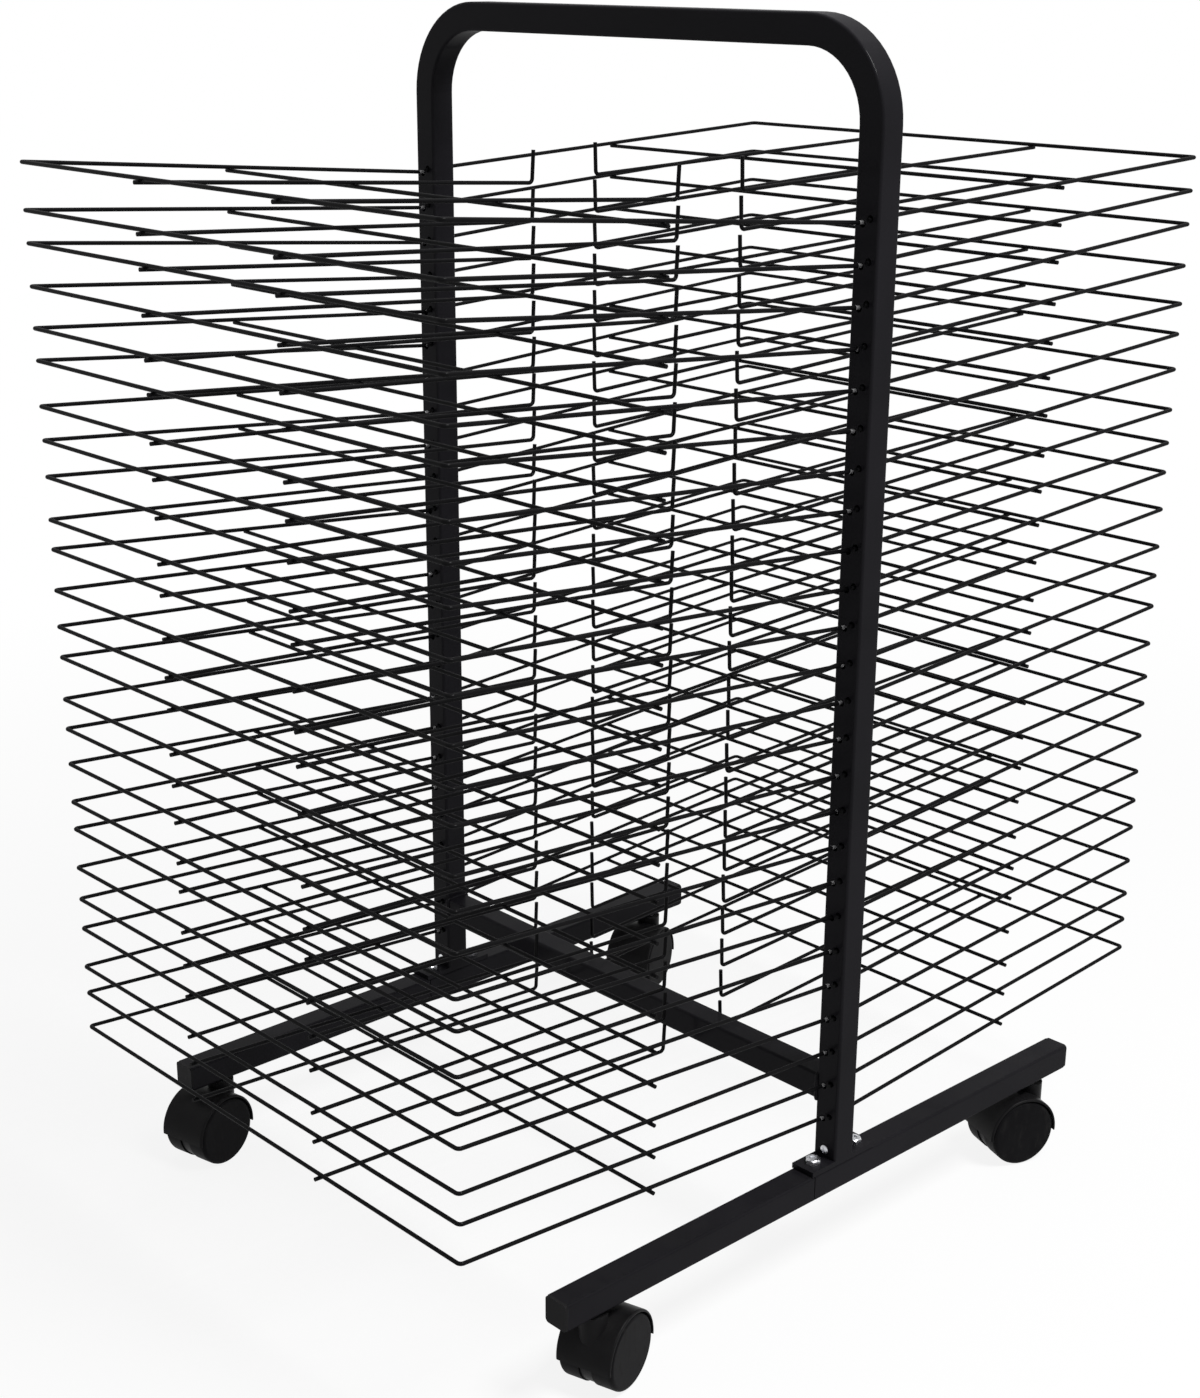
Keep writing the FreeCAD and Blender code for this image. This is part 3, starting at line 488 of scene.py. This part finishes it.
def finish_nodes():
    """Gives every carried-over node the finish of its own slot."""
    for part in frame["record"]["subparts"]:
        mesh = NODES[part["node"]].data
        mesh.materials.clear()
        mesh.materials.append(FINISH_OF_SLOT[part["material_slot"]])


# ---------------------------------------------------------------- weld beads and weld spots


def add_object(name, data):
    """A new object in the scene."""
    made = bpy.data.objects.new(name, data)
    bpy.context.scene.collection.objects.link(made)
    return made


def finish_piece(name, built, slot):
    """Turns a bmesh into a smooth piece that rides on the rack."""
    mesh = bpy.data.meshes.new(name)
    bmesh.ops.recalc_face_normals(built, faces=built.faces)
    built.to_mesh(mesh)
    built.free()
    mesh.shade_smooth()
    mesh.materials.append(FINISH_OF_SLOT[slot])
    piece = add_object(name, mesh)
    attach(piece, RACK)


def round_the_square(half, corner):
    """Points round a square with round corners, evenly enough for a weld bead."""
    steps = 12
    straight = half - corner
    points = []
    for quarter in range(4):
        turn = math.radians(90 * quarter)
        side = []
        for step in range(steps + 1):
            angle = math.radians(90 * step / steps)
            side.append((straight + corner * math.cos(angle), straight + corner * math.sin(angle)))
        for step in range(1, steps):
            side.append((straight - 2 * straight * step / steps, half))
        for y, z in side:
            points.append((y * math.cos(turn) - z * math.sin(turn), y * math.sin(turn) + z * math.cos(turn)))
    return points


def weld_bead(name, centre, half, corner, radius):
    """A bead of weld round a square tube that meets a face across X."""
    sides = 10
    ripple = 0.16
    quick_beat, slow_beat = 1.9, 0.83
    slow_share = 0.5
    built = bmesh.new()
    rings = []
    for index, (y, z) in enumerate(round_the_square(half, corner)):
        outward = Vector((0.0, y, z)).normalized()
        wave = math.sin(index * quick_beat) + slow_share * math.sin(index * slow_beat)
        swell = radius * (1 + ripple * wave)
        middle = centre + Vector((0.0, y, z))
        ring = []
        for side in range(sides):
            angle = 2 * math.pi * side / sides
            offset = outward * math.cos(angle) * swell + Vector((math.sin(angle) * swell, 0.0, 0.0))
            ring.append(built.verts.new(middle + offset))
        rings.append(ring)
    for index, ring in enumerate(rings):
        following = rings[(index + 1) % len(rings)]
        for side in range(sides):
            other = (side + 1) % sides
            built.faces.new((ring[side], ring[other], following[other], following[side]))
    finish_piece(name, built, "frame_coat")


def make_crossbar_welds():
    """One bead at each end of the crossbar."""
    gap = 0.2 * MM
    corner = 2.2 * MM
    radius = 1.5 * MM
    low, high = node_box("crossbar")
    middle = (low + high) / 2
    half = (high.z - low.z) / 2
    for name, x in (("left_crossbar_weld", low.x), ("right_crossbar_weld", high.x)):
        weld_bead(name, Vector((x, middle.y, middle.z)), half + gap, corner, radius)


def islands(mesh):
    """The separate solids of a node, each as a list of its points.

    Points that agree to a thousandth of a millimetre count as one place.
    """
    decimals = 6
    owner = list(range(len(mesh.vertices)))

    def root(index):
        while owner[index] != index:
            owner[index] = owner[owner[index]]
            index = owner[index]
        return index

    first_here = {}
    for vertex in mesh.vertices:
        place = tuple(round(value, decimals) for value in vertex.co)
        first = first_here.setdefault(place, vertex.index)
        owner[root(vertex.index)] = root(first)
    for edge in mesh.edges:
        start, end = edge.vertices
        owner[root(start)] = root(end)
    found = {}
    for vertex in mesh.vertices:
        found.setdefault(root(vertex.index), []).append(vertex.co)
    return list(found.values())


def span(points):
    """The lowest and highest corners of some points."""
    low = Vector(min(point[axis] for point in points) for axis in range(3))
    high = Vector(max(point[axis] for point in points) for axis in range(3))
    return low, high


def sort_wires(node):
    """The boxes of a shelf pair's bent outer wires, middle cross wires and inner wires.

    A cross wire runs along X, an inner wire along Y, and an outer wire along both.
    """
    outer, middle, inner = [], [], []
    for points in islands(node.data):
        low, high = span(points)
        size = high - low
        if size.y < size.x / 2:
            middle.append((low, high))
        elif size.x > size.y / 2:
            outer.append((low, high))
        else:
            inner.append((low, high))
    return outer, middle, inner


def weld_places(node):
    """The wire radius of a shelf pair, and the points where its wires lie on each other."""
    sink_share = 0.9
    outer, middle, inner = sort_wires(node)
    cross_low, cross_high = middle[0]
    radius = (cross_high.y - cross_low.y) / 2
    sunk = sink_share * radius
    places = []
    for low, high in outer:
        side = math.copysign(1.0, low.y + high.y)
        end_y = side * (max(abs(low.y), abs(high.y)) - radius)
        cross = next((start + end) / 2 for start, end in middle if (start.y + end.y) * side > 0)
        for x in (low.x + radius, high.x - radius):
            places.append(Vector((x, cross.y, cross.z + sunk)))
        for near, far in inner:
            if (near.y + far.y) * side > 0:
                x = (near.x + far.x) / 2
                places.append(Vector((x, cross.y, cross.z + sunk)))
                places.append(Vector((x, end_y, high.z - radius - sunk)))
    return radius, places


def add_weld_spot(built, centre, radius):
    """The uneven metal that a spot weld squeezes out between two crossing wires."""
    reach, flatness, unevenness = 1.12, 0.62, 0.3
    spot = bmesh.ops.create_icosphere(built, subdivisions=2, radius=reach * radius)
    for vertex in spot["verts"]:
        swell = 1 + unevenness * noise_at((vertex.co + centre) / radius)
        vertex.co = centre + Vector((vertex.co.x, vertex.co.y, flatness * vertex.co.z)) * swell


def make_shelf_welds():
    """One piece per shelf pair with the weld spots at its twelve crossings."""
    for name in SHELF_NODES:
        radius, places = weld_places(NODES[name])
        built = bmesh.new()
        for place in places:
            add_weld_spot(built, place, radius)
        finish_piece(name.replace("shelf_pair", "shelf_welds"), built, "wire_coat")


# ---------------------------------------------------------------- room, light and camera


def make_floor():
    """A wide white floor below the casters."""
    reach = 12.0
    built = bmesh.new()
    corners = [built.verts.new((x * reach, y * reach, 0.0)) for x, y in ((-1, -1), (1, -1), (1, 1), (-1, 1))]
    built.faces.new(corners)
    mesh = bpy.data.meshes.new("floor")
    built.to_mesh(mesh)
    built.free()
    mesh.materials.append(floor_finish())
    add_object("floor", mesh)


def soft_lamp(name, place, aim, side, power):
    """A square lamp that looks from its place at a point."""
    data = bpy.data.lights.new(name, "AREA")
    data.shape = "SQUARE"
    data.size = side
    data.energy = power
    lamp = add_object(name, data)
    lamp.location = place
    lamp.rotation_euler = (Vector(aim) - Vector(place)).to_track_quat("-Z", "Y").to_euler()


def light_the_room():
    """A high lamp on the right, a broad weak one overhead, and a white surround."""
    soft_lamp("high_right_lamp", place=(1.55, 0.35, 2.8), aim=(0.0, 0.0, 0.4), side=0.9, power=88.0)
    soft_lamp("overhead_lamp", place=(-0.3, 0.5, 2.6), aim=(0.0, 0.0, 0.3), side=2.0, power=10.0)
    light_given, light_seen = 0.12, 1.0
    world = bpy.data.worlds.new("white_surround")
    bpy.context.scene.world = world
    world.use_nodes = True
    tree = world.node_tree
    background = tree.nodes["Background"]
    join(tree, between(tree, seen_directly(tree), light_given, light_seen), background.inputs["Strength"])
    set_inputs(background, Color=(1.0, 1.0, 1.0, 1.0))


def make_camera():
    """A camera at the front right, just above the rack's height and looking down on it.

    The picture is taller than wide, so the sensor's width lies along its height.
    """
    picture_height = 1398.0
    focal_pixels = 2215.1
    middle_x, middle_y = -1.0, 52.4
    azimuth, elevation, roll = (math.radians(angle) for angle in (46.999, 19.85, 0.318))
    data = bpy.data.cameras.new("camera")
    data.sensor_width = 36.0
    data.lens = data.sensor_width * focal_pixels / picture_height
    data.shift_x = -middle_x / picture_height
    data.shift_y = middle_y / picture_height
    camera = add_object("camera", data)
    camera.location = (1.12937, -1.08387, 0.90211)
    aim = Matrix.Rotation(azimuth, 3, "Z") @ Matrix.Rotation(math.pi / 2 - elevation, 3, "X")
    camera.rotation_euler = (aim @ Matrix.Rotation(roll, 3, "Z")).to_euler()
    bpy.context.scene.camera = camera


# ---------------------------------------------------------------- the whole rack

finish_nodes()
make_crossbar_welds()
make_shelf_welds()
make_floor()
light_the_room()
make_camera()
bpy.context.scene.view_settings.view_transform = "Standard"
